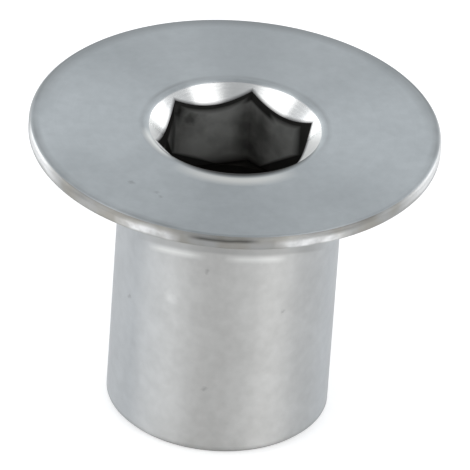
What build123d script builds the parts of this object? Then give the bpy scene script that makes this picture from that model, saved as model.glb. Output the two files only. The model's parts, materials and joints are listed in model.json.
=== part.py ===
from build123d import *
import math
import os

# A barrel nut: the threaded sleeve of a binding barrel set. It is one turned piece with a wide, thin,
# round head, a smooth barrel that fills the hole in the work, a hexagon key socket in the head and a
# threaded hole that runs from the barrel's open end up to the socket.
# Millimetres. The origin is the middle of the open end of the barrel, and +Z runs up to the head.

# Overall sizes. The barrel's wall is the metal outside the thread's grooves.
head_diameter = 14.7
rim_thickness = 0.55
barrel_length = 10.8
barrel_wall = 1.0

# Finish of the outer edges
rim_upper_radius = 0.16
rim_lower_radius = 0.08
underhead_fillet = 0.25
barrel_end_chamfer = 0.15

# Hexagon key socket. It is broached from a drilled hole that is narrower than the flats are apart, so each
# flat is cleaned up over its whole width and a narrow ledge is left as the socket's floor.
key_across_flats = 5.0
socket_depth = 3.2
broach_allowance = 0.04
countersink_margin = 0.26
countersink_angle = 90.0
countersink_lip_radius = 0.3

# Threaded hole, modelled as a plain hole at the thread's minor diameter. The same hole runs on through the
# socket. A thread too wide for that stops below the socket's floor, under the cone that its drill leaves.
thread_diameter = 6.0
thread_pitch = 1.0
lead_in_margin = 0.2
lead_in_angle = 90.0
drill_point_angle = 118.0

# What follows from the sizes above
head_radius = head_diameter / 2
barrel_radius = thread_diameter / 2 + barrel_wall
overall_height = barrel_length + rim_thickness
socket_floor = overall_height - socket_depth
key_corner_radius = key_across_flats / 2 / math.cos(math.pi / 6)
countersink_radius = key_corner_radius + countersink_margin
thread_height = thread_pitch * math.sqrt(3) / 2
minor_radius = thread_diameter / 2 - thread_height * 5 / 8
broach_hole_radius = min(minor_radius, key_across_flats / 2 - broach_allowance)
lead_in_radius = thread_diameter / 2 + lead_in_margin


def cone_height(one_radius, other_radius, included_angle):
    """How far a cone of that included angle runs along the axis between two radii."""
    return abs(one_radius - other_radius) / math.tan(math.radians(included_angle / 2))


def rounded(section, point, radius):
    """The section with its corner at that point rounded off."""
    corner = section.vertices().sort_by_distance(point)[0]
    return fillet(corner, radius)


def half_section():
    """One half of the lengthwise section of the turned blank, with X as the radius and Y as the height."""
    rim_bottom = (head_radius, barrel_length)
    rim_top = (head_radius, overall_height)
    underhead_corner = (barrel_radius, barrel_length)
    mouth_edge = (countersink_radius, overall_height)
    countersink_depth = cone_height(countersink_radius, broach_hole_radius, countersink_angle)
    hole_top = (broach_hole_radius, overall_height - countersink_depth)
    lead_in_top = (minor_radius, cone_height(lead_in_radius, minor_radius, lead_in_angle))
    drill_cone = []
    if minor_radius > broach_hole_radius:
        cone_length = cone_height(minor_radius, broach_hole_radius, drill_point_angle)
        drill_cone = [(minor_radius, socket_floor - cone_length), (broach_hole_radius, socket_floor)]

    outline = Polyline(
        rim_top,
        rim_bottom,
        underhead_corner,
        (barrel_radius, barrel_end_chamfer),
        (barrel_radius - barrel_end_chamfer, 0),
        (lead_in_radius, 0),
        lead_in_top,
        *drill_cone,
        hole_top,
        mouth_edge,
        close=True,
    )
    section = make_face(outline)
    section = rounded(section, rim_top, rim_upper_radius)
    section = rounded(section, rim_bottom, rim_lower_radius)
    section = rounded(section, underhead_corner, underhead_fillet)
    return rounded(section, mouth_edge, countersink_lip_radius)


def turned_blank():
    """The head, barrel, countersink and through hole, all turned about the one axis."""
    return revolve(Plane.XZ * half_section(), Axis.Z)


def broached_hexagon():
    """The space that the broach clears: it meets the countersink in an arc on each of its six flats."""
    hexagon = RegularPolygon(key_across_flats / 2, side_count=6, major_radius=False)
    return extrude(Plane.XY.offset(socket_floor) * hexagon, socket_depth)


def barrel_nut():
    """The whole nut, one solid."""
    return turned_blank() - broached_hexagon()


nut = barrel_nut()
os.makedirs("parts", exist_ok=True)
export_step(nut, "parts/barrel_nut.step")
print("barrel_nut", len(nut.solids()), "solid,", round(nut.volume, 3), "mm3,", nut.bounding_box())
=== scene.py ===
# %% [markdown]
# # A turned barrel nut
#
# A barrel nut, or sleeve nut, is turned from one bar of stainless steel. It has a thin disc for a head, a
# plain barrel under it, a hexagon socket broached into the head and a screw thread tapped up the barrel.
# The lesson models its skin as one closed mesh, gives each machined surface its own finish, and sets it in
# a small white studio.
#
# The engineering model of the nut is loaded first. Everything below takes its sizes and its place from it.

# %% Load the engineering model
import json
import math

import bmesh
import bpy
import numpy as np
from mathutils import Matrix, Vector


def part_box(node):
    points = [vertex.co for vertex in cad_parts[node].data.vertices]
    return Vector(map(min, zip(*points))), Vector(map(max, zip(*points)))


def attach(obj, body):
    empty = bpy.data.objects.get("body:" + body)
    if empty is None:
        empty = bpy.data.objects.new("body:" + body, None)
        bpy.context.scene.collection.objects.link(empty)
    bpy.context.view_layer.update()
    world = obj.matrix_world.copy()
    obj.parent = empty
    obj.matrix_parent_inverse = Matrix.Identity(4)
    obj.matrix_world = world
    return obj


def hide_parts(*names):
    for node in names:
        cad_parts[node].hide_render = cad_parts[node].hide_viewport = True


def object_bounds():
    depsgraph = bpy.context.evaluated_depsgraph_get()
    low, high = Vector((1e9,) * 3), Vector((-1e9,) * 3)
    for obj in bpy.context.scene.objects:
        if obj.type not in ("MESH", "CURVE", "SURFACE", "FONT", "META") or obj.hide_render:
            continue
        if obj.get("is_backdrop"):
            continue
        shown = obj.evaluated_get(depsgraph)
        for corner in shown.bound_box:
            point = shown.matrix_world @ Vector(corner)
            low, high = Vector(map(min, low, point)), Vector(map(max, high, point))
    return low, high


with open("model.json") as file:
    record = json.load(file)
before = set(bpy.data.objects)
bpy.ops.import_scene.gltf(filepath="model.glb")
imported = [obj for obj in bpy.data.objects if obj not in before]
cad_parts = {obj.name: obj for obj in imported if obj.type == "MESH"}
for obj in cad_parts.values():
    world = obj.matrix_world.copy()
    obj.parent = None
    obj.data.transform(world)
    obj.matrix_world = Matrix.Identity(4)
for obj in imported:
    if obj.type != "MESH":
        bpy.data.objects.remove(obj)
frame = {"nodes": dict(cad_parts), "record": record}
cad_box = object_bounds()
print("nodes:", sorted(frame["nodes"]))
print("box of the engineering model, mm:", [[round(1000 * x, 3) for x in corner] for corner in cad_box])

# %% [markdown]
# ## Sizes
#
# Blender works in metres, and this nut is 15 mm wide, so every length is written in millimetres times MM.
# The height and the head's width come from the model's box, and the radii of the bore and the barrel from
# the mounting faces that its record lists. What the record doesn't say, such as the depth of the socket, is
# written here as it stands on the drawing.

# %% Read the main sizes
MM = 0.001
low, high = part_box("barrel_nut")
mounts = {mount["name"]: mount for mount in frame["record"]["mounts"]}
total_height = high.z
head_radius = min(high.x, high.y, -low.x, -low.y)
barrel_radius = mounts["barrel"]["dims"]["r_mm"] * MM
bore_radius = mounts["screw_thread"]["dims"]["r_mm"] * MM
print(f"height {total_height / MM:.3f} mm, head radius {head_radius / MM:.3f} mm")
print(f"barrel radius {barrel_radius / MM:.3f} mm, bore radius {bore_radius / MM:.3f} mm")

# %% Sizes of the head, the socket and the thread
rim_height = 0.55 * MM
key_flats = 5.0 * MM
socket_depth = 3.2 * MM
thread_pitch = 1.0 * MM
thread_radius = 3.0 * MM
lead_in_radius = thread_radius + 0.2 * MM
socket_floor = total_height - socket_depth
head_underside = total_height - rim_height
print(f"socket floor at {socket_floor / MM:.2f} mm, underside of the head at {head_underside / MM:.2f} mm")

# %% [markdown]
# ## Columns round the axis
#
# The whole skin is a net of rings and columns. The rings follow the outline, and the columns go round the
# axis. The socket is a hexagon, so the number of columns is a multiple of six: then a column stands in each
# of its corners, and the corners stay sharp. Between them the wall's radius follows from the distance of
# the flat.

# %% Place the columns
columns_per_flat = 32
column_count = 6 * columns_per_flat
sixth = math.radians(60)
column_angles = np.arange(column_count) * math.tau / column_count
wall_radius = key_flats / 2 / np.cos(column_angles % sixth - sixth / 2)
print(column_count, "columns")
print(f"radius of the socket's wall from {wall_radius.min() / MM:.3f} to {wall_radius.max() / MM:.3f} mm")

# %% [markdown]
# ## The outline, with its corners rounded
#
# No machined edge is perfectly sharp, and the thin bright or dark line along an edge is what makes metal
# look real. So the outline is drawn as straight runs, and each corner is replaced by a small arc with a few
# rings in it. One ring stands just before and just after each arc, so that the shading of the flat faces
# stays flat.

# %% Round the corners of an outline
support = 0.02 * MM


def rounded_outline(corners):
    """Points of an outline. Each corner is (radius, height, rounding, steps); rounding 0 keeps it sharp."""
    outline = []
    last = len(corners) - 1
    for number, (radius, height, rounding, steps) in enumerate(corners):
        here = Vector((radius, height))
        if rounding == 0 or number in (0, last):
            outline.append(here)
            continue
        before = (Vector(corners[number - 1][:2]) - here).normalized()
        after = (Vector(corners[number + 1][:2]) - here).normalized()
        opening = before.angle(after)
        reach = rounding / math.tan(opening / 2)
        centre = here + (before + after).normalized() * (rounding / math.sin(opening / 2))
        first = here + before * reach - centre
        turn = (math.pi - opening) * (1 if first.cross(here + after * reach - centre) > 0 else -1)
        outline.append(here + before * (reach + support))
        for step in range(steps + 1):
            swing = Matrix.Rotation(turn * step / steps, 2)
            outline.append(centre + swing @ first)
        outline.append(here + after * (reach + support))
    return outline


sample = rounded_outline([(0, 0, 0, 0), (MM, 0, 0.2 * MM, 4), (MM, MM, 0, 0)])
print("a sample corner of four steps becomes", len(sample) - 2, "points")

# %% [markdown]
# A long straight run with no rings in it gives long thin faces, and those shade badly on a curved barrel.
# So the runs are filled with more rings.

# %% Fill long straight runs with more rings
def with_longest_step(outline, longest):
    """The same outline with no step longer than the given one."""
    filled = [outline[0]]
    for point in outline[1:]:
        gap = point - filled[-1]
        parts = max(1, math.ceil(gap.length / longest))
        start = filled[-1]
        for part in range(1, parts + 1):
            filled.append(start + gap * part / parts)
    return filled


print("the sample, with a point every 0.1 mm:", len(with_longest_step(sample, 0.1 * MM)), "points")

# %% [markdown]
# ## The outside of the nut
#
# The outline runs from the mouth of the socket across the face and down the outside to the open end of the
# barrel. The upper edge of the rim is rounded, so that it feels smooth and mirrors the room, and the lower
# edge is rounded a little less. A small fillet joins the barrel to the flat underside. The mouth is a 90
# degree countersink with a soft lip, so its slope is left for the next step, where it meets the hexagon.

# %% Sizes of the edges
mouth_radius = 3.147 * MM
lip_rounding = 0.3 * MM
rim_rounding = 0.16 * MM
edge_rounding = 0.12 * MM
fillet = 0.25 * MM
end_chamfer = 0.15 * MM
chamfer_rounding = 0.05 * MM
slope_angle = math.radians(45)
lip_reach = lip_rounding * math.tan(slope_angle / 2) + support
slope_start = mouth_radius - lip_reach * math.cos(slope_angle)
print(f"the slope of the mouth starts at a radius of {slope_start / MM:.3f} mm")

# %% Draw the outside
outside = rounded_outline([
    (slope_start, total_height - (mouth_radius - slope_start), 0, 0),
    (mouth_radius, total_height, lip_rounding, 10),
    (head_radius, total_height, rim_rounding, 12),
    (head_radius, head_underside, edge_rounding, 6),
    (barrel_radius, head_underside, fillet, 8),
    (barrel_radius, end_chamfer, chamfer_rounding, 3),
    (barrel_radius - end_chamfer, 0, chamfer_rounding, 3),
    (lead_in_radius, 0, 0, 0),
])
outside = with_longest_step(outside, longest=0.7 * MM)
print(len(outside), "rings on the outside")

# %% [markdown]
# ## The socket
#
# The broach pushed a hexagon into a round hole and left a narrow ledge at the bottom. From the bore the
# rings run out over that ledge, up the six flats and out over the slope of the countersink. The wall's
# radius is different in each column, so a ring here is a list of radii and heights instead of one pair. The
# slope is a cone, and the upper edge of each flat is where that cone meets the wall. That gives the six
# scallops of a countersunk hexagon.

# %% Rings of the socket
def ring(radius, height):
    """One ring: an array of (radius, height) for every column."""
    pair = np.empty((column_count, 2))
    pair[:, 0] = radius
    pair[:, 1] = height
    return pair


scallop_height = total_height - (mouth_radius - wall_radius)
socket_rings = [ring(bore_radius, socket_floor)]
wall_rings = 13
for share in np.linspace(0, 1, wall_rings):
    socket_rings.append(ring(wall_radius, socket_floor + share * (scallop_height - socket_floor)))
slope_steps = 4
for step in range(1, slope_steps):
    radius = wall_radius + (slope_start - wall_radius) * step / slope_steps
    socket_rings.append(ring(radius, total_height - (mouth_radius - radius)))
print(len(socket_rings), "rings in the socket")

# %% [markdown]
# ## The screw thread
#
# A thread is a ridge that climbs one pitch for each turn. A stack of level rings could only draw it as a
# staircase, so this part of the net is sheared: each column starts a little higher than the one before, and
# after a full turn the rows have climbed by exactly one pitch and meet themselves again. Sixteen rows to a
# pitch put a row on every corner of the 60 degree profile, which has a crest a quarter of the pitch wide
# and a root an eighth wide.
#
# The rows start a little more than a turn below the open end. They are flattened against that end and
# against the top of the thread, and points that fall together there are welded later. The lead-in cone cuts
# the first turn, and the last turn runs out.

# %% Profile of the thread
rows_per_pitch = 16
half_root = 1 / 16
flank = 5 / 16
turns_below_end = 1.1
thread_top = socket_floor - 0.4 * MM
run_out = 1.2 * MM


def groove_depth(share):
    """0 on the crest and 1 at the root, for a place given as a share of the pitch."""
    from_root = abs(share % 1.0 - 0.5)
    return min(1.0, max(0.0, (half_root + flank - from_root) / flank))


def thread_point(angle, row):
    """Radius and height of one point of the thread."""
    turns = row / rows_per_pitch
    height = thread_pitch * (turns + angle / math.tau - turns_below_end)
    left = max(0.0, min(1.0, (thread_top - height) / run_out))
    radius = bore_radius + (thread_radius - bore_radius) * groove_depth(turns) * left
    height = max(0.0, min(thread_top, height))
    return max(radius, lead_in_radius - height), height


print("depth of the groove over one pitch:", [round(groove_depth(row / 16), 2) for row in range(17)])

# %% Lay out the thread
row_count = math.ceil((thread_top / thread_pitch + turns_below_end) * rows_per_pitch) + 2
thread_grid = np.array([[thread_point(angle, row) for row in range(row_count)] for angle in column_angles])
thread_radii = thread_grid[..., 0] / MM
print(f"{row_count} rows of thread, radius {thread_radii.min():.3f} to {thread_radii.max():.3f} mm")

# %% [markdown]
# ## Sewing the skin
#
# The rings of the socket and the outside are stacked into one list, and neighbouring rings are joined with
# four-sided faces. The thread closes the tube at its two ends. Each face also gets a zone number, which
# later picks the finish of the surface it belongs to: the faced head, the turned outside, the slope of the
# countersink, the broached socket or the tapped thread.

# %% Helpers that build the mesh
zones = ["face", "turned", "slope", "socket", "thread"]
points = []
faces = []
face_zones = []


def add_ring(pairs):
    """Adds one ring of points and returns the number of its first point."""
    first = len(points)
    for (radius, height), angle in zip(pairs, column_angles):
        points.append((radius * math.cos(angle), radius * math.sin(angle), height))
    return first


def join_rings(lower, upper, zone):
    """Joins two rings with a band of faces."""
    for column in range(column_count):
        after = (column + 1) % column_count
        faces.append((lower + column, lower + after, upper + after, upper + column))
        face_zones.append(zones.index(zone))


print("zones of the skin:", zones)

# %% [markdown]
# The lip belongs to the face, because the same tool polished both, and so does the very top of the rim's
# rounding. The slope's finish starts a quarter of the lip's rounding inside the mouth.

# %% Join the rings of the socket and the outside
slope_limit = mouth_radius - 0.25 * lip_rounding
lip_limit = mouth_radius + lip_rounding
face_limit = total_height - 0.15 * rim_rounding
ring_starts = [add_ring(pairs) for pairs in socket_rings]
ring_zones = ["socket"] * wall_rings + ["slope"] * slope_steps
for radius, height in outside:
    ring_starts.append(add_ring(ring(radius, height)))
    on_lip = radius < lip_limit and height > head_underside
    if radius < slope_limit:
        ring_zones.append("slope")
    elif on_lip or height > face_limit:
        ring_zones.append("face")
    else:
        ring_zones.append("turned")
for number in range(len(ring_starts) - 1):
    join_rings(ring_starts[number], ring_starts[number + 1], ring_zones[number])
print(len(faces), "faces before the thread")

# %% Add the thread and close the tube
first_row = len(points)
for column, angle in enumerate(column_angles):
    for radius, height in thread_grid[column]:
        points.append((radius * math.cos(angle), radius * math.sin(angle), height))
for column in range(column_count):
    after = (column + 1) % column_count
    climb = rows_per_pitch if after == 0 else 0
    for row in range(row_count - 1 - climb):
        here = first_row + column * row_count + row
        beside = first_row + after * row_count + row + climb
        faces.append((here, beside, beside + 1, here + 1))
        face_zones.append(zones.index("thread"))
top_ring = add_ring(ring(bore_radius, thread_top))
join_rings(top_ring, ring_starts[0], "socket")
print(len(faces), "faces with the thread")

# %% [markdown]
# `remove_doubles` welds the points that fall together, and the faces that shrank to nothing vanish with
# them. A closed skin has exactly two faces at every edge, which is what a printed or weighed part needs, so
# that is counted here.

# %% Weld the skin and check that it is closed
weld_distance = 0.0001 * MM
sharp_from = math.radians(28)
mesh = bpy.data.meshes.new("barrel_nut_skin")
mesh.from_pydata(points, [], faces)
mesh.polygons.foreach_set("material_index", face_zones)
skin = bmesh.new()
skin.from_mesh(mesh)
bmesh.ops.remove_doubles(skin, verts=skin.verts, dist=weld_distance)
bmesh.ops.dissolve_degenerate(skin, edges=skin.edges, dist=weld_distance)
bmesh.ops.recalc_face_normals(skin, faces=skin.faces)
open_edges = sum(1 for edge in skin.edges if len(edge.link_faces) != 2)
print(len(skin.verts), "points,", len(skin.faces), "faces,", open_edges, "open edges")
print("volume, cubic mm:", round(skin.calc_volume() / MM**3, 2))
skin.to_mesh(mesh)
skin.free()
mesh.shade_smooth()
mesh.set_sharp_from_angle(angle=sharp_from)

# %% Put it in the place of the engineering model
nut = bpy.data.objects.new("turned_nut", mesh)
bpy.context.scene.collection.objects.link(nut)
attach(nut, "root")
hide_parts("barrel_nut")

# %% [markdown]
# ## Finishes
#
# All five finishes are the same stainless steel. What differs is the tool that cut it and the way it moved.
# Each is one Principled shader fed by a few patterns. The patterns are worked out from the place on the
# object in millimetres, so they stay on the metal however it is lit or turned. A few helpers keep the node
# code short: the first adds a node and sets it up, and the others are the small sums that every finish
# needs.

# %% Helpers that add nodes
def add_node(tree, kind, inputs=None, **settings):
    """Adds a shader node. inputs holds sockets by name or number: a number sets it, an output is linked."""
    node = tree.nodes.new(kind)
    for name, value in settings.items():
        setattr(node, name, value)
    for name, value in (inputs or {}).items():
        if isinstance(value, bpy.types.NodeSocket):
            tree.links.new(value, node.inputs[name])
        else:
            node.inputs[name].default_value = value
    return node


def calculate(tree, operation, *values):
    """A Math node's result."""
    return add_node(tree, "ShaderNodeMath", dict(enumerate(values)), operation=operation).outputs[0]


def calculate_vector(tree, operation, inputs, result="Vector"):
    """A Vector Math node's result."""
    return add_node(tree, "ShaderNodeVectorMath", inputs, operation=operation).outputs[result]


def product(tree, first, *others):
    """All the values multiplied together."""
    for value in others:
        first = calculate(tree, "MULTIPLY", first, value)
    return first


def strongest(tree, first, *others):
    """The largest of the values."""
    for value in others:
        first = calculate(tree, "MAXIMUM", first, value)
    return first


def spread(tree, value, from_low, from_high, to_low, to_high):
    """Maps a value from one range to another and holds it there."""
    inputs = {0: value, 1: from_low, 2: from_high, 3: to_low, 4: to_high}
    return add_node(tree, "ShaderNodeMapRange", inputs).outputs[0]


def band(tree, value, start, peak, end):
    """1 at the peak, falling to 0 at the start and the end."""
    rise = spread(tree, value, start, peak, 0.0, 1.0)
    fall = spread(tree, value, peak, end, 1.0, 0.0)
    return product(tree, rise, fall)


def blend_colours(tree, amount, colour_a, colour_b):
    """Mixes two colours: the first where the amount is 0, the second where it is 1."""
    node = add_node(tree, "ShaderNodeMix", data_type="RGBA")
    for socket, value in ((node.inputs[0], amount), (node.inputs[6], colour_a), (node.inputs[7], colour_b)):
        if isinstance(value, bpy.types.NodeSocket):
            tree.links.new(value, socket)
        else:
            socket.default_value = value
    return node.outputs[2]


print("helpers that add nodes are ready")

# %% [markdown]
# A finish begins with three things that all its patterns are made from: the point on the object, its
# distance from the axis and its height, all in millimetres. Two noises do most of the work. Noise that
# changes only with one distance gives the fine lines that a tool leaves, and noise in all directions gives
# soft patches.

# %% Helpers that start a finish and make its patterns
def start_metal(name):
    """A new material with its shader, and the point, radius and height that its patterns are made from."""
    material = bpy.data.materials.new(name)
    material.use_nodes = True
    tree = material.node_tree
    shader = tree.nodes["Principled BSDF"]
    place = add_node(tree, "ShaderNodeTexCoord").outputs["Object"]
    point = calculate_vector(tree, "SCALE", {0: place, "Scale": 1 / MM})
    level = calculate_vector(tree, "MULTIPLY", {0: point, 1: (1, 1, 0)})
    radius = calculate_vector(tree, "LENGTH", {0: level}, "Value")
    height = add_node(tree, "ShaderNodeSeparateXYZ", {0: point}).outputs["Z"]
    shader.inputs["Metallic"].default_value = 1.0
    return material, tree, shader, point, radius, height


def tool_lines(tree, along, per_mm, detail=3.0):
    """Fine lines left by a tool: noise that changes only with one distance."""
    inputs = {"W": along, "Scale": per_mm, "Detail": detail, "Roughness": 0.6}
    node = add_node(tree, "ShaderNodeTexNoise", inputs, noise_dimensions="1D")
    return node.outputs["Fac"]


def blotches(tree, point, per_mm, detail=3.0):
    """Soft uneven patches."""
    inputs = {"Vector": point, "Scale": per_mm, "Detail": detail}
    return add_node(tree, "ShaderNodeTexNoise", inputs).outputs["Fac"]


def uneven_tone(tree, coarse, fine):
    """0 to 1, from a coarse and a fine pattern in equal parts."""
    both = calculate(tree, "ADD", product(tree, coarse, 0.5), product(tree, fine, 0.5))
    return spread(tree, both, 0.35, 0.65, 0.0, 1.0)


print("helpers for patterns are ready")

# %% [markdown]
# A fastener doesn't wear evenly: one side of it has been knocked, gripped and rubbed more than the rest.
# That side is a direction on the nut, and each worn place is found by its turn from there. So the wear
# stays on the part when the part is turned. The camera looks at that side, and the painted highlights and
# shades below are placed by their turn from it as well.

# %% Helpers that find a side of the nut
worn_side = -110.0    # degrees round the axis from +X


def direction_on_nut(angle):
    """Level unit vector for an angle in degrees."""
    return (math.cos(math.radians(angle)), math.sin(math.radians(angle)), 0)


def distance_along(tree, point, angle):
    """How far a point lies from the axis, in millimetres, in the direction of an angle in degrees."""
    return calculate_vector(tree, "DOT_PRODUCT", {0: point, 1: direction_on_nut(angle)}, "Value")


def towards_side(tree, point, turn, gone_at, full_within):
    """1 within full_within degrees of one side, 0 past gone_at. turn is counted from the worn side."""
    level = calculate_vector(tree, "MULTIPLY", {0: point, 1: (1, 1, 0)})
    unit = calculate_vector(tree, "NORMALIZE", {0: level})
    cosine = distance_along(tree, unit, worn_side + turn)
    limits = [math.cos(math.radians(angle)) for angle in (gone_at, full_within)]
    return spread(tree, cosine, *limits, 0.0, 1.0)


def small_marks(tree, point, places):
    """1 inside small marks and 0 elsewhere. A place is (turn from the worn side, radius, height, size)."""
    inputs = {"Vector": point, "Scale": 6.0, "Detail": 3.0}
    noise = add_node(tree, "ShaderNodeTexNoise", inputs).outputs["Color"]
    raggedness = 0.3
    ragged = calculate_vector(tree, "MULTIPLY_ADD", {0: noise, 1: (raggedness,) * 3, 2: point})
    middle_of_noise = Vector((raggedness / 2,) * 3)
    marks = 0.0
    for turn, radius, height, size in places:
        centre = Vector(direction_on_nut(worn_side + turn)) * radius + Vector((0, 0, height))
        away = calculate_vector(tree, "DISTANCE", {0: ragged, 1: centre + middle_of_noise}, "Value")
        mark = spread(tree, away, size * 0.2, size, 1.0, 0.0)
        marks = strongest(tree, marks, mark)
    return marks


print("the worn side faces", [round(x, 3) for x in direction_on_nut(worn_side)])

# %% [markdown]
# Turning leaves rings, and rings spread a reflection across themselves. Anisotropy makes that fan of light
# and shade: the tangent runs round the axis, and a quarter turn of the rotation puts the spread across the
# rings. A bump shows the same rings as a very shallow relief.

# %% Helpers for sheen and relief
def spread_across_rings(tree, shader, amount):
    """Spreads the reflection across rings that run round the axis."""
    shader.inputs["Anisotropic"].default_value = amount
    shader.inputs["Anisotropic Rotation"].default_value = 0.25
    around = add_node(tree, "ShaderNodeTangent", direction_type="RADIAL", axis="Z")
    tree.links.new(around.outputs["Tangent"], shader.inputs["Tangent"])


def add_relief(tree, shader, pattern, strength, depth):
    """Shows a pattern as a shallow relief, on top of any relief that is there. depth is in millimetres."""
    inputs = {"Strength": strength, "Distance": depth * MM, "Height": pattern}
    for link in shader.inputs["Normal"].links:
        inputs["Normal"] = link.from_socket
    bump = add_node(tree, "ShaderNodeBump", inputs)
    tree.links.new(bump.outputs["Normal"], shader.inputs["Normal"])


print("helpers for sheen and relief are ready")

# %% [markdown]
# ### The faced head
#
# The face was cut by a tool that moved in towards the centre while the part turned, so it carries very fine
# rings. A flat grey would look like plastic, so two sizes of patches move it between a darker and a lighter
# steel. The side away from the hands has kept more of its first brightness.

# %% Colour of the face
material, tree, shader, point, radius, height = start_metal("faced_stainless")
rings = tool_lines(tree, radius, per_mm=14.0)
patches = blotches(tree, point, per_mm=0.45)
fine = blotches(tree, point, per_mm=2.6, detail=4.0)
tone = uneven_tone(tree, patches, fine)
darker_steel = (0.526, 0.558, 0.573, 1)
lighter_steel = (0.600, 0.634, 0.650, 1)
untouched_steel = (0.80, 0.84, 0.86, 1)
face_colour = blend_colours(tree, tone, darker_steel, lighter_steel)
untouched = product(tree, towards_side(tree, point, 180, 41.4, 0), 0.22)
face_colour = blend_colours(tree, untouched, face_colour, untouched_steel)
print("the face runs from", darker_steel[:3], "to", lighter_steel[:3])

# %% [markdown]
# Two thin dark lines of painted shade run on the face: one just inside the outer edge, and one round the
# mouth of the socket. On the worn side both are left out, all but a short stretch. On the far side a band
# of painted shade lies along the edge and darkens its reflection.

# %% Painted dark lines and edge shade of the face
outer = head_radius / MM
mouth = mouth_radius / MM
# Painted shade: thin dark lines inside the outer edge and round the mouth, left out on the worn side.
off_worn_side = calculate(tree, "SUBTRACT", 1.0, towards_side(tree, point, 18, 63.3, 31.8))
short_stretch = product(tree, towards_side(tree, point, -24, 12.0, 7.3), 0.7)
outer_shade_line = band(tree, radius, outer - 0.42, outer - 0.16, outer + 0.25)
mouth_shade_line = product(tree, band(tree, radius, mouth + 0.07, mouth + 0.17, mouth + 0.33), 0.7)
uneven = spread(tree, blotches(tree, point, per_mm=0.35, detail=2.0), 0.38, 0.60, 0.20, 0.62)
line_sides = strongest(tree, off_worn_side, short_stretch)
painted_dark = product(tree, strongest(tree, outer_shade_line, mouth_shade_line), line_sides, uneven)
# Painted shade along the far edge, which darkens its reflection.
thin_edge_shade = spread(tree, radius, outer - 0.62, outer - 0.26, 0.0, 0.42)
thick_edge_shade = spread(tree, radius, outer - 0.24, outer - 0.13, 0.0, 0.8)
far_side = towards_side(tree, point, 180, 98.6, 72.5)
far_edge_shade = product(tree, strongest(tree, thin_edge_shade, thick_edge_shade), far_side)
painted_dark_steel = (0.27, 0.28, 0.285, 1)
face_colour = blend_colours(tree, strongest(tree, painted_dark, far_edge_shade), face_colour, painted_dark_steel)
print(f"dull lines at radius {outer - 0.16:.2f} and {mouth + 0.17:.2f} mm")

# %% [markdown]
# On the worn side the lip's inner side is darkened with painted shade, and its outer side is lightened
# with a painted highlight. Both reach out over the lip there and draw in towards the flanks, so they
# follow a round line that is set off towards the worn side: a share of the distance in that direction is
# taken from the radius. Another painted highlight lies on the lip's left flank.

# %% Painted shade and highlights on the lip
offset_share = 0.145
offset = product(tree, distance_along(tree, point, worn_side + 5), offset_share)
past_lip = calculate(tree, "SUBTRACT", radius, offset)
past_lip = calculate(tree, "SUBTRACT", past_lip, (1 - offset_share) * mouth)
inner_limit = spread(tree, past_lip, 0.17, 0.33, 0.0, 1.0)
outer_limit = spread(tree, past_lip, 0.45, 0.75, 1.0, 0.0)
# Painted highlight on the lip's outer side on the worn side, and on its left flank.
lip_highlight = product(tree, inner_limit, outer_limit, towards_side(tree, point, 2, 38.7, 0))
left_band = band(tree, radius, mouth - 0.15, mouth + 0.07, mouth + 0.29)
left_lip_highlight = product(tree, left_band, towards_side(tree, point, -60, 21.6, 9.9))
lip_highlight_steel = (0.93, 0.93, 0.90, 1)
face_colour = blend_colours(tree, strongest(tree, lip_highlight, left_lip_highlight), face_colour, lip_highlight_steel)
# Painted shade on the lip's inner side on the worn side.
lip_shade = spread(tree, past_lip, 0.09, 0.29, 1.0, 0.0)
lip_shade = product(tree, lip_shade, towards_side(tree, point, 0, 90, 72.5))
lip_shade_colour = (0.06, 0.06, 0.058, 1)
face_colour = blend_colours(tree, lip_shade, face_colour, lip_shade_colour)
print(f"on the worn side the dirt ends {0.29 / (1 - offset_share):.2f} mm past the mouth")

# %% [markdown]
# Three small knocks are placed one by one. Then the finish is put together: the lighter patches are a
# little rougher, and the rings break the gloss up.

# %% Nicks and roughness of the face
top = total_height / MM
nick_places = [(-39.4, 5.5, top, 0.16), (-28.4, 5.42, top, 0.12), (-26.4, 5.6, top, 0.12)]
nicks = product(tree, small_marks(tree, point, nick_places), 0.42)
nick_shadow = (0.25, 0.26, 0.27, 1)
face_colour = blend_colours(tree, nicks, face_colour, nick_shadow)
tree.links.new(face_colour, shader.inputs["Base Color"])
ring_roughness = spread(tree, rings, 0.3, 0.7, -0.03, 0.03)
roughness = calculate(tree, "ADD", spread(tree, tone, 0, 1, 0.37, 0.42), ring_roughness)
tree.links.new(roughness, shader.inputs["Roughness"])
spread_across_rings(tree, shader, 0.85)
add_relief(tree, shader, rings, strength=0.10, depth=0.004)
faced = material
print("made", faced.name, "with", len(tree.nodes), "nodes")

# %% [markdown]
# ### The turned outside
#
# The rim and the barrel were turned along the axis, so their lines run round them like the threads of a
# very fine screw. The barrel is a satin surface with soft patches. A painted tint of reflected light makes
# it a little warmer on the worn side and cooler elsewhere, and painted shade darkens its foot.

# %% Colour of the barrel
material, tree, shader, point, radius, height = start_metal("turned_stainless")
lines = tool_lines(tree, height, per_mm=6.0, detail=2.0)
patches = blotches(tree, point, per_mm=0.55)
fine = blotches(tree, point, per_mm=2.6, detail=4.0)
tone = uneven_tone(tree, patches, fine)
# Painted tint of reflected light: warmer on the worn side, cooler elsewhere.
warm_reflection_steel = blend_colours(tree, tone, (0.555, 0.550, 0.536, 1), (0.645, 0.640, 0.626, 1))
cool_reflection_steel = blend_colours(tree, tone, (0.538, 0.555, 0.568, 1), (0.612, 0.630, 0.645, 1))
warm_reflection_side = towards_side(tree, point, 8, 60, 18.2)
barrel_colour = blend_colours(tree, warm_reflection_side, cool_reflection_steel, warm_reflection_steel)
# Painted shade at the foot, where the barrel meets the table.
foot_shade = spread(tree, height, 0.08, 0.30, 0.45, 0.0)
foot_shade_colour = (0.22, 0.22, 0.215, 1)
barrel_colour = blend_colours(tree, foot_shade, barrel_colour, foot_shade_colour)
print("barrel: warm towards", worn_side + 8, "degrees, cool on the other side")
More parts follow.
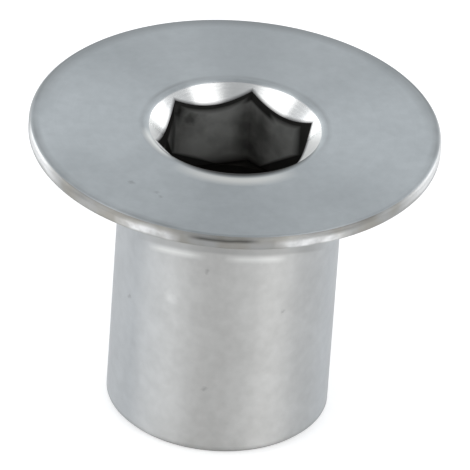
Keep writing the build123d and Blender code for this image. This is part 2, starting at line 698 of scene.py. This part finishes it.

# %% [markdown]
# The head casts a painted shadow on the barrel, as if from light that comes down from the worn side. The
# shadow ends at a line a little over two millimetres under the head: above it the barrel is painted a shade
# darker, and just below it a painted highlight brightens the metal in two places. The line is where a slope
# of 35 degrees from the rim meets the barrel.

# %% The painted shadow of the head on the barrel
shadow_slope = math.tan(math.radians(34.8))
forward = distance_along(tree, point, worn_side)
sideways = distance_along(tree, point, worn_side + 90)
rim_reach = calculate(tree, "SUBTRACT", outer**2, calculate(tree, "POWER", sideways, 2.0))
overhang = calculate(tree, "SUBTRACT", calculate(tree, "SQRT", rim_reach), forward)
below_head = calculate(tree, "SUBTRACT", head_underside / MM, height)
past_shadow_edge = calculate(tree, "SUBTRACT", below_head, product(tree, overhang, shadow_slope))
# Painted shadow of the head on the top of the barrel.
in_head_shadow = spread(tree, past_shadow_edge, -0.05, 0.05, 0.40, 0.0)
head_shadow = product(tree, in_head_shadow, towards_side(tree, point, 5, 60, 41.4))
head_shadow_steel = (0.30, 0.30, 0.295, 1)
barrel_colour = blend_colours(tree, head_shadow, barrel_colour, head_shadow_steel)
# Painted highlight just below the shadow's edge, in two places.
highlight_sides = [towards_side(tree, point, turn, 17.3, 8.9) for turn in (-27, 16)]
shadow_edge_highlight = product(tree, strongest(tree, *highlight_sides), band(tree, past_shadow_edge, 0.03, 0.18, 0.37), 0.60)
highlight_steel = (0.92, 0.92, 0.90, 1)
barrel_colour = blend_colours(tree, shadow_edge_highlight, barrel_colour, highlight_steel)
shadow_edge_depth = (outer - barrel_radius / MM) * shadow_slope
print(f"on the worn side the sheltered line is {shadow_edge_depth:.2f} mm under the head")

# %% [markdown]
# The rim is what gets knocked and gripped. It is duller than the barrel all round, and stained brownish on
# the worn side. Its patterns go by the distance below the face, and a slow wobble keeps them from looking
# ruled.

# %% Dull and stained metal of the rim
wobble = spread(tree, blotches(tree, point, per_mm=0.5, detail=2.0), 0.3, 0.7, -0.05, 0.05)
below_face = calculate(tree, "ADD", calculate(tree, "SUBTRACT", total_height / MM, height), wobble)
gripped = towards_side(tree, point, 0, 71.9, 50.2)
stained = spread(tree, blotches(tree, point, per_mm=0.8), 0.42, 0.60, 0.0, 1.0)
dull_rim = (0.43, 0.44, 0.445, 1)
knocked_rim = (0.46, 0.46, 0.455, 1)
brown_stain = (0.42, 0.405, 0.375, 1)
gripped_colour = blend_colours(tree, stained, knocked_rim, brown_stain)
rim_colour = blend_colours(tree, gripped, dull_rim, gripped_colour)
print("rim: gripped within 50 degrees of the worn side")

# %% [markdown]
# Four places on the rim carry painted highlights. Two spots, one on each side of the worn side's middle, are
# painted unevenly below the rim's upper edge. Both flanks carry a painted reflection, most of all between
# that edge and the rim's middle.

# %% Painted highlights on the rim's spots and flanks
# Painted highlights: two spots below the rim's upper edge.
left_glint = towards_side(tree, point, -23, 10.3, 4.4)
right_glint = towards_side(tree, point, 24.5, 11.8, 5.7)
glint_top = spread(tree, below_face, 0.10, 0.28, 0.0, 1.0)
glint_foot = spread(tree, below_face, 0.44, 0.62, 1.0, 0.2)
glint_gaps = spread(tree, blotches(tree, point, per_mm=2.2), 0.35, 0.60, 0.45, 1.0)
painted_glint = product(tree, strongest(tree, left_glint, right_glint), glint_top, glint_foot, glint_gaps)
# Painted reflection on both flanks.
left_flank = towards_side(tree, point, -70, 16.1, 7.3)
right_flank = towards_side(tree, point, 80, 27.0, 12.0)
flank_top = spread(tree, below_face, 0.02, 0.18, 0.35, 1.0)
flank_foot = spread(tree, below_face, 0.28, 0.42, 1.0, 0.15)
flank_reflection = product(tree, strongest(tree, left_flank, right_flank), flank_top, flank_foot)
reflection_steel = (0.91, 0.91, 0.91, 1)
rim_colour = blend_colours(tree, strongest(tree, painted_glint, flank_reflection), rim_colour, reflection_steel)
print("rim: rubbed spots at", worn_side - 23, "and", worn_side + 24.5, "degrees")

# %% [markdown]
# Painted shade darkens the upper edge outside the two painted highlights, a dark line of painted shade lies
# below the edge between them, and a faint one runs along the lower edge.

# %% Painted shade on the rim
# Painted shade on the upper edge, outside the two highlights.
left_edge_shade = towards_side(tree, point, -35, 17.3, 9.9)
right_edge_shade = towards_side(tree, point, 33, 15.2, 8.9)
upper_edge_shade = product(tree, strongest(tree, left_edge_shade, right_edge_shade), spread(tree, below_face, 0.10, 0.24, 0.55, 0.0))
upper_edge_shade_colour = (0.17, 0.165, 0.155, 1)
rim_colour = blend_colours(tree, upper_edge_shade, rim_colour, upper_edge_shade_colour)
# Painted dark lines: below the upper edge between the highlights, and faint along the lower edge.
between_spots = towards_side(tree, point, -1, 10.3, 6.3)
upper_shade_line = product(tree, between_spots, band(tree, below_face, 0.08, 0.19, 0.30))
lower_shade_line = product(tree, gripped, band(tree, below_face, 0.42, 0.54, 0.66), 0.15)
shade_line_colour = (0.13, 0.13, 0.12, 1)
rim_colour = blend_colours(tree, strongest(tree, upper_shade_line, lower_shade_line), rim_colour, shade_line_colour)
on_rim = spread(tree, height, head_underside / MM - 0.02, head_underside / MM + 0.02, 0.0, 1.0)
outside_colour = blend_colours(tree, on_rim, barrel_colour, rim_colour)
print(f"the rim's colour starts at a height of {head_underside / MM:.2f} mm")

# %% [markdown]
# A few nicks are placed one by one, as a real part has them: dark where dirt has settled, bright where the
# knock is fresh. The gripped part of the rim is rougher than the rest.

# %% Nicks and roughness of the outside
side = barrel_radius / MM
dark_places = [
    (-9.1, side, 7.68, 0.14),
    (-56.8, side, 5.25, 0.12),
    (32.6, side, 5.88, 0.12),
    (-6.7, side, 2.71, 0.12),
]
bright_places = [(-28.4, side, 6.19, 0.32)]
dark_nicks = product(tree, small_marks(tree, point, dark_places), 0.36)
bright_nicks = product(tree, small_marks(tree, point, bright_places), 0.35)
settled_dirt = (0.22, 0.22, 0.22, 1)
fresh_metal = (0.90, 0.90, 0.89, 1)
outside_colour = blend_colours(tree, dark_nicks, outside_colour, settled_dirt)
outside_colour = blend_colours(tree, bright_nicks, outside_colour, fresh_metal)
tree.links.new(outside_colour, shader.inputs["Base Color"])
line_roughness = spread(tree, lines, 0.3, 0.7, -0.01, 0.01)
roughness = calculate(tree, "ADD", spread(tree, tone, 0, 1, 0.33, 0.38), line_roughness)
roughness = calculate(tree, "ADD", roughness, product(tree, gripped, on_rim, 0.12))
tree.links.new(roughness, shader.inputs["Roughness"])
spread_across_rings(tree, shader, 0.65)
add_relief(tree, shader, lines, strength=0.03, depth=0.004)
add_relief(tree, shader, patches, strength=0.03, depth=0.01)
turned = material
print("made", turned.name, "with", len(tree.nodes), "nodes")

# %% [markdown]
# ### The slope of the countersink
#
# The slope was cut last, with a sharp tool, so it mirrors more than any other surface here. A dark line of
# painted shade lies where the slope ends at the hexagon. The largest of the distances towards the flats
# finds that line, because on a hexagon's outline it is the same everywhere. The key has scuffed both sides
# of the slope, so they are rougher.

# %% Finish of the slope
material, tree, shader, point, radius, height = start_metal("countersunk_stainless")
lines = tool_lines(tree, radius, per_mm=18.0)
patches = blotches(tree, point, per_mm=1.6)
slope_colour = blend_colours(tree, patches, (0.76, 0.76, 0.75, 1), (0.92, 0.92, 0.91, 1))
half_key = key_flats / 2 / MM
across_flats = [distance_along(tree, point, angle) for angle in (30, 90, 150)]
towards_flats = [calculate(tree, "ABSOLUTE", distance) for distance in across_flats]
# Painted shade: a dark line where the slope meets the flats.
slope_edge_shade = spread(tree, strongest(tree, *towards_flats), half_key + 0.01, half_key + 0.10, 0.85, 0.0)
slope_edge_shade_colour = (0.08, 0.077, 0.08, 1)
slope_colour = blend_colours(tree, slope_edge_shade, slope_colour, slope_edge_shade_colour)
tree.links.new(slope_colour, shader.inputs["Base Color"])
scuffs = [towards_side(tree, point, turn, 28.4, 16.3) for turn in (-62, 66)]
scuffed = product(tree, strongest(tree, *scuffs), 0.45)
roughness = calculate(tree, "ADD", spread(tree, lines, 0.3, 0.7, 0.16, 0.26), scuffed)
tree.links.new(roughness, shader.inputs["Roughness"])
add_relief(tree, shader, lines, strength=0.12, depth=0.004)
sloped = material
print("made", sloped.name, "with", len(tree.nodes), "nodes")

# %% [markdown]
# ### The flats of the socket
#
# A broach is pushed straight down, so it leaves scratches along the axis: noise that is squeezed sideways
# and stretched upwards. Painted shade makes the flats darker and patchier towards the ledge. Under the
# slope's edge runs a thin dark line of painted shade, which is wider at the corner at the back.

# %% Bare metal and painted shade of the flats
material, tree, shader, point, radius, height = start_metal("broached_stainless")
stretched = calculate_vector(tree, "MULTIPLY", {0: point, 1: (6.0, 6.0, 0.25)})
scratches = blotches(tree, stretched, per_mm=1.0, detail=4.0)
patches = blotches(tree, point, per_mm=0.9)
floor_height = socket_floor / MM
# Painted shade: the flats grow darker and patchier towards the ledge.
depth = spread(tree, height, floor_height, top - 0.5, 1.0, 0.0)
upper_metal = blend_colours(tree, scratches, (0.90, 0.90, 0.88, 1), (0.95, 0.95, 0.93, 1))
lower_shaded_metal = blend_colours(tree, patches, (0.72, 0.72, 0.695, 1), (0.94, 0.94, 0.91, 1))
flat_colour = blend_colours(tree, depth, upper_metal, lower_shaded_metal)
edge_height = calculate(tree, "ADD", radius, top - mouth)
below_edge = calculate(tree, "SUBTRACT", edge_height, height)
# Painted shade: a dark line under the slope's edge, wider at the back corner.
top_shade = spread(tree, below_edge, 0.14, 0.38, 0.97, 0.0)
wide_top_shade = spread(tree, below_edge, 0.32, 0.54, 0.97, 0.0)
wide_top_shade = product(tree, wide_top_shade, towards_side(tree, point, 162, 17.3, 9.9))
print("the torn line ends 0.38 mm below the slope's edge, and 0.54 mm at the back")

# %% [markdown]
# Painted shade darkens the socket: the ledge and the foot of the flats, the wall away from the worn side
# below a slanting line, two corners and the upper part of the left flat. A point is close to a corner
# when its radius is only a little short of the corner's own.

# %% Painted shade in the socket
key_corner = half_key / math.cos(math.radians(30))
short_of_corner = calculate(tree, "SUBTRACT", key_corner, radius)
# Painted shade in two corners and on the upper part of the left flat.
right_corner_shade = spread(tree, short_of_corner, 0.21, 0.32, 0.95, 0.0)
right_corner_shade = product(tree, right_corner_shade, towards_side(tree, point, 111, 23.1, 18.2))
left_corner_shade = spread(tree, short_of_corner, 0.03, 0.10, 0.8, 0.0)
left_corner_shade = product(tree, left_corner_shade, towards_side(tree, point, -129, 23.1, 18.2))
left_flat_shade = spread(tree, below_edge, 0.60, 1.00, 0.97, 0.0)
left_flat_shade = product(tree, left_flat_shade, towards_side(tree, point, -99, 30.7, 28.4))
# Painted shade on the ledge, the foot of the flats, and the wall away from the worn side below a slanting
# line.
ledge_shade = spread(tree, height, floor_height, floor_height + 0.5, 1.0, 0.0)
near_side = distance_along(tree, point, worn_side)
below_top = calculate(tree, "SUBTRACT", top, height)
below_slant = calculate(tree, "ADD", below_top, product(tree, near_side, 1.15))
far_wall_shade = spread(tree, below_slant, 0.20, 0.36, 0.0, 1.0)
far_wall_shade = product(tree, far_wall_shade, spread(tree, near_side, -0.7, 0.1, 1.0, 0.0))
socket_shade = strongest(tree, top_shade, wide_top_shade, ledge_shade, far_wall_shade, right_corner_shade, left_corner_shade, left_flat_shade)
print(f"corners of the socket at a radius of {key_corner:.3f} mm")

# %% [markdown]
# Thinner dirt only stains the metal, patchily all round. Painted shade adds to it in the corner at the back
# and round the left one, and one old smudge lies beside the left corner. The ledge's dirt and painted shade
# are the darkest, so they have a colour of their own.

# %% Stains and painted shade in the socket
faint_stain = spread(tree, blotches(tree, point, per_mm=1.1), 0.42, 0.66, 0.0, 0.30)
# Painted shade in the corner at the back and round the left corner.
back_corner_shade = product(tree, towards_side(tree, point, 166, 17.3, 8.1), 0.40)
left_round = spread(tree, short_of_corner, 0.09, 0.31, 1.0, 0.0)
left_depth = spread(tree, below_edge, 0.6, 1.2, 0.9, 0.42)
left_round_shade = product(tree, left_round, towards_side(tree, point, -129, 36.9, 30.7), left_depth)
stain_and_shade = calculate(tree, "ADD", faint_stain, calculate(tree, "ADD", back_corner_shade, left_round_shade))
smudge_depth = 1.13
smudge = product(tree, small_marks(tree, point, [(-141, 2.65, top - smudge_depth, 0.55)]), 0.75)
on_ledge = spread(tree, height, floor_height + 0.02, floor_height + 0.06, 1.0, 0.0)
# One colour for dirt and painted shade, darkest on the ledge.
wall_dirt_and_shade = (0.08, 0.077, 0.074, 1)
ledge_dirt_and_shade = (0.04, 0.038, 0.035, 1)
dirt_and_shade_colour = blend_colours(tree, on_ledge, wall_dirt_and_shade, ledge_dirt_and_shade)
flat_colour = blend_colours(tree, strongest(tree, socket_shade, stain_and_shade, smudge), flat_colour, dirt_and_shade_colour)
tree.links.new(flat_colour, shader.inputs["Base Color"])
print("one smudge", smudge_depth, "mm below the face")

# %% [markdown]
# Seen at a shallow angle even dark metal mirrors nearly everything. A film of oil and dust takes that away,
# so the specular tint, which colours a metal's reflection at shallow angles, is dark here.

# %% Roughness and tint of the flats
shader.inputs["Roughness"].default_value = 0.42
shader.inputs["Specular Tint"].default_value = (0.25, 0.25, 0.25, 1)
add_relief(tree, shader, scratches, strength=0.06, depth=0.01)
broached = material
print("made", broached.name, "with", len(tree.nodes), "nodes")

# %% [markdown]
# ### The thread
#
# The thread is cut metal that no one polishes. A tap chatters as it turns, so its flanks are a little
# mottled.

# %% Finish of the thread
material, tree, shader, point, radius, height = start_metal("tapped_stainless")
chatter = blotches(tree, point, per_mm=3.0, detail=4.0)
thread_colour = blend_colours(tree, chatter, (0.42, 0.42, 0.415, 1), (0.54, 0.54, 0.53, 1))
tree.links.new(thread_colour, shader.inputs["Base Color"])
tree.links.new(spread(tree, chatter, 0.3, 0.7, 0.26, 0.40), shader.inputs["Roughness"])
add_relief(tree, shader, chatter, strength=0.2, depth=0.01)
tapped = material
print("made", tapped.name, "with", len(tree.nodes), "nodes")

# %% Put the finishes on the nut
for finish in (faced, turned, sloped, broached, tapped):
    mesh.materials.append(finish)
print("finishes on the nut:", [slot.name for slot in nut.material_slots])

# %% [markdown]
# ## A small white studio
#
# Metal has no look of its own: it shows the room. The room here is a white table, a wall that is white at
# the bottom and greyer towards the ceiling, and four soft lamps, two beside the camera and two low behind
# the nut. The wall is the world's colour, worked out from the direction alone. Every ray sees it as it is,
# so the background and its reflection agree.

# %% The room
world = bpy.data.worlds.new("studio")
bpy.context.scene.world = world
world.use_nodes = True
room = world.node_tree
background = room.nodes["Background"]
direction = add_node(room, "ShaderNodeTexCoord").outputs["Generated"]
rise = add_node(room, "ShaderNodeSeparateXYZ", {0: direction}).outputs["Z"]
wall = add_node(room, "ShaderNodeValToRGB", {0: rise})
levels = wall.color_ramp
levels.interpolation = "B_SPLINE"
stops = [(0.0, 1.0), (0.20, 1.0), (0.40, 0.86), (0.53, 0.68), (0.70, 0.52), (1.0, 0.42)]
coolness = 0.03
levels.elements[0].position = stops[0][0]
levels.elements[1].position = stops[-1][0]
for position, _ in stops[1:-1]:
    levels.elements.new(position)
for element, (_, level) in zip(levels.elements, stops):
    element.color = (level * (1 - coolness), level, level * (1 + coolness), 1)
room.links.new(wall.outputs["Color"], background.inputs["Color"])
background.inputs["Strength"].default_value = 1.0
print("brightness of the wall, from level to straight up:", stops)

# %% [markdown]
# The table is white paper, a hair below the nut so that the two don't share a plane. Its own light in
# camera, glossy and clear rays brings it to clean white, and the shadow under the nut still shows on it,
# because the lamps light the rest.

# %% The table
table_mesh = bpy.data.meshes.new("table")
half = 0.6
table_corners = [(-half, -half, 0), (half, -half, 0), (half, half, 0), (-half, half, 0)]
table_mesh.from_pydata(table_corners, [], [(0, 1, 2, 3)])
table = bpy.data.objects.new("table", table_mesh)
bpy.context.scene.collection.objects.link(table)
table.location.z = -0.01 * MM
table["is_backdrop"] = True
print("table made,", 2 * half, "m wide")

# %% The paper on the table
paper = bpy.data.materials.new("white_paper")
paper.use_nodes = True
tree = paper.node_tree
shader = tree.nodes["Principled BSDF"]
shader.inputs["Base Color"].default_value = (0.80, 0.80, 0.80, 1)
shader.inputs["Roughness"].default_value = 0.20
shader.inputs["Specular IOR Level"].default_value = 1.0
shader.inputs["Emission Color"].default_value = (1, 1, 1, 1)
rays = add_node(tree, "ShaderNodeLightPath")
seen = strongest(tree, rays.outputs["Is Camera Ray"], rays.outputs["Is Transmission Ray"])
glow = product(tree, seen, 0.50)
mirrored_glow = product(tree, rays.outputs["Is Glossy Ray"], 0.15)
tree.links.new(strongest(tree, glow, mirrored_glow), shader.inputs["Emission Strength"])
table_mesh.materials.append(paper)
print("paper laid on the table")

# %% [markdown]
# Soft lamps are wide area lamps. A lamp's brightness as seen in a reflection is its power over its area and
# pi, so the helper takes that brightness and works the power out. The lamps don't show to the camera. The
# camera looks at the worn side, so places in the studio are given by their turn from there.

# %% Helpers that place things in the studio
camera_turn = math.radians(worn_side)


def direction_from(turn, rise):
    """Unit vector towards a place: degrees of turn from the camera's side, and of rise above the table."""
    angle = camera_turn + math.radians(turn)
    level = math.cos(math.radians(rise))
    return Vector((level * math.cos(angle), level * math.sin(angle), math.sin(math.radians(rise))))


def soft_lamp(name, turn, rise, distance, width, depth, brightness):
    """A rectangular lamp that faces the nut."""
    data = bpy.data.lights.new(name, "AREA")
    data.shape = "RECTANGLE"
    data.size = width
    data.size_y = depth
    data.energy = brightness * math.pi * width * depth
    lamp = bpy.data.objects.new(name, data)
    bpy.context.scene.collection.objects.link(lamp)
    towards = direction_from(turn, rise)
    lamp.location = towards * distance
    lamp.rotation_mode = "QUATERNION"
    lamp.rotation_quaternion = towards.to_track_quat("Z", "Y")
    lamp.visible_camera = False
    return lamp


print("the camera's side is at", worn_side, "degrees")

# %% Lamps
lamp_distance = 0.5
lamps = [
    soft_lamp("left_lamp", -64, 30, lamp_distance, width=0.40, depth=0.54, brightness=1.05),
    soft_lamp("right_lamp", 53, 30, lamp_distance, width=0.32, depth=0.54, brightness=1.12),
    soft_lamp("back_left_lamp", -125, 14, lamp_distance, width=0.28, depth=0.22, brightness=1.0),
    soft_lamp("back_right_lamp", 125, 14, lamp_distance, width=0.28, depth=0.22, brightness=0.9),
]
print("lamps:", [lamp.name for lamp in lamps])

# %% [markdown]
# A bright room on every side would wash the form out. A grey card, darker than the wall beside it, stands
# on the table just behind the camera, and its reflection is the darker stripe down the middle of the
# barrel.

# %% Dark card
card_distance = 0.3
card_half_width = 0.105
card_height = 0.24
card_centre = direction_from(-8, 0) * card_distance
sideways = Vector((-card_centre.y, card_centre.x, 0)).normalized() * card_half_width
upwards = Vector((0, 0, card_height))
corners = [card_centre - sideways, card_centre + sideways]
corners += [corners[1] + upwards, corners[0] + upwards]
card_mesh = bpy.data.meshes.new("dark_card")
card_mesh.from_pydata(corners, [], [(0, 1, 2, 3)])
card = bpy.data.objects.new("dark_card", card_mesh)
bpy.context.scene.collection.objects.link(card)
card.visible_camera = False
card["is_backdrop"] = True
felt = bpy.data.materials.new("grey_felt")
felt.use_nodes = True
felt_shader = felt.node_tree.nodes["Principled BSDF"]
felt_shader.inputs["Base Color"].default_value = (0.42, 0.42, 0.42, 1)
felt_shader.inputs["Roughness"].default_value = 1.0
card_mesh.materials.append(felt)
print("card made,", card_height, "m tall and", card_distance, "m away")

# %% [markdown]
# ## The camera
#
# The part is seen from about a third of the way up to overhead, through a long lens from a third of a metre
# away, so the disc is a clean ellipse with hardly any perspective. The picture is turned by four degrees,
# and the lens looks a little below the face so that the whole nut is in the frame. Three directions at
# right angles to each other turn the camera: the picture's right, its upright, and straight back from what
# it looks at.

# %% Where the camera stands
camera_rise = 31.83
camera_distance = 44.8 * head_radius
picture_turn = math.radians(4.035)
look_below = 3.877 * MM
look_left = 0.016 * MM
face_centre = Vector((0, 0, total_height))
towards = direction_from(0, camera_rise)
right = Vector((-math.sin(camera_turn), math.cos(camera_turn), 0))
upward = towards.cross(right)
picture_right = right * math.cos(picture_turn) + upward * math.sin(picture_turn)
picture_up = upward * math.cos(picture_turn) - right * math.sin(picture_turn)
look_at = face_centre - picture_up * look_below - picture_right * look_left
camera_place = face_centre + towards * camera_distance
print(f"the camera stands {camera_distance:.3f} m from the face, {camera_rise} degrees above it")

# %% Camera
camera_data = bpy.data.cameras.new("camera")
camera = bpy.data.objects.new("camera", camera_data)
bpy.context.scene.collection.objects.link(camera)
bpy.context.scene.camera = camera
back = (camera_place - look_at).normalized()
camera_right = picture_up.cross(back).normalized()
turned_to_part = Matrix((camera_right, back.cross(camera_right), back)).transposed().to_4x4()
camera.matrix_world = Matrix.Translation(camera_place) @ turned_to_part
camera_data.sensor_width = 36.0
camera_data.lens = 709.5
camera_data.clip_start = 0.01
camera_data.clip_end = 10.0
bpy.context.scene.view_settings.view_transform = "Standard"
print("camera at", [round(x, 4) for x in camera_place], "with a lens of", camera_data.lens, "mm")

# %% [markdown]
# ## The part's size
#
# The looks must not change the part's size, so both boxes are written down side by side.

# %% Print both boxes
visual_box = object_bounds()
for name, box in (("engineering", cad_box), ("visual", visual_box)):
    print(name, [[round(x / MM, 3) for x in corner] for corner in box])
